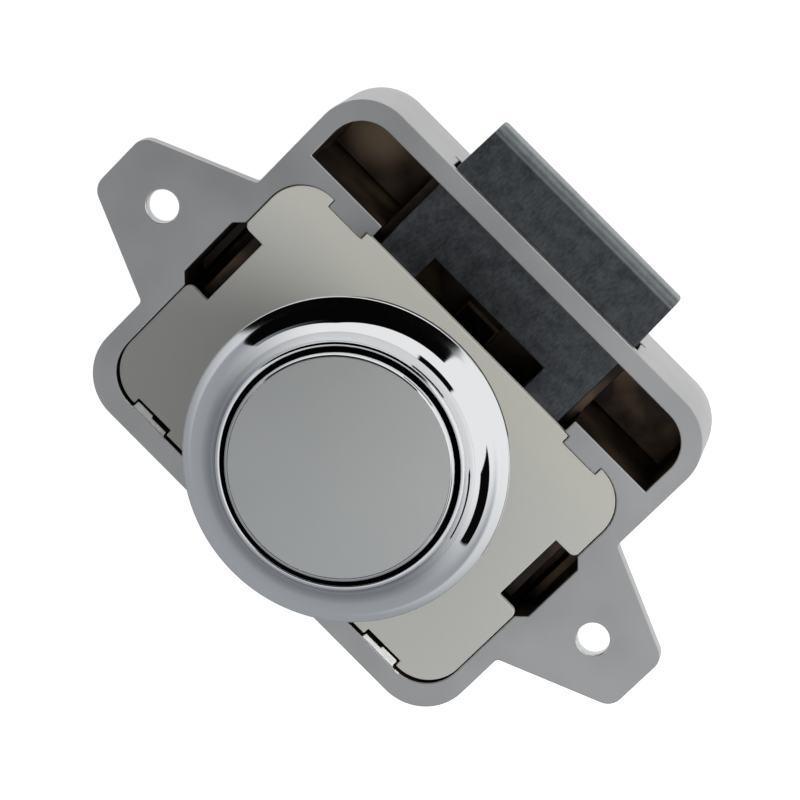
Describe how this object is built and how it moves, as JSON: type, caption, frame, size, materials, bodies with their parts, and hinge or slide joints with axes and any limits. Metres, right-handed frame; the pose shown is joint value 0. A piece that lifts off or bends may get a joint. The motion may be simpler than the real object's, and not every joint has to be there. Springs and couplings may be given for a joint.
{
  "type": "pushbutton latch",
  "caption": "Push-button furniture latch: cast case with two screw ears, sprung bolt, threaded tube through the door and a chrome rosette with a knob that pops out to open.",
  "frame": {"origin": "midway between the two ear holes, on the face that is screwed to the door; the knob's axis passes through it", "axes": "+X along the line of the ear holes, +Y the way the bolt shoots, +Z from the door to the knob"},
  "size_m": [0.08, 0.054, 0.0378],
  "materials": {
    "case_chrome": "chromed zinc casting with a soft satin face",
    "polished_chrome": "mirror chrome on zinc",
    "satin_chrome": "satin chrome, very finely blasted",
    "bolt_zinc": "grey passivated zinc, grainy, worn lighter along its edges",
    "nylon": "natural white nylon, slightly translucent",
    "carriage_plastic": "moulded acetal",
    "spring_steel": "drawn spring wire and strip",
    "turned_steel": "turned, zinc plated",
    "yellow_zinc": "pale yellow passivated nut",
    "gasket_rubber": "flat black rubber"
  },
  "bodies": {
    "lock_body": {"lock_case": "case_chrome", "carrier_plate": "nylon", "rosette": "polished_chrome", "rosette_gasket": "gasket_rubber", "bolt_spring_left": "spring_steel", "bolt_spring_right": "spring_steel", "spring_pin_left": "turned_steel", "spring_pin_right": "turned_steel", "knob_spring": "spring_steel", "spring_washer": "turned_steel", "cam_wire": "spring_steel", "wire_leaf": "spring_steel", "leaf_screw": "turned_steel"},
    "knob": {"knob_shell": "polished_chrome", "knob_face": "satin_chrome", "knob_stem": "turned_steel", "stem_nut": "yellow_zinc", "cam_carriage": "carriage_plastic", "carriage_pin": "turned_steel"},
    "bolt": {"latch_bolt": "bolt_zinc"}
  },
  "joints": [
    {"name": "button_slide", "type": "slide", "parent": "lock_body", "child": "knob", "axis": [0, 0, 1], "range_m": [-0.0008, 0.007], "deforming": ["knob_spring"]},
    {"name": "bolt_slide", "type": "slide", "parent": "lock_body", "child": "bolt", "axis": [0, 1, 0], "range_m": [-0.007, 0.0008], "deforming": ["bolt_spring_left", "bolt_spring_right"]}
  ],
  "couplings": [
    {"joint": "bolt_slide", "follows": "button_slide", "ratio": -1}
  ]
}
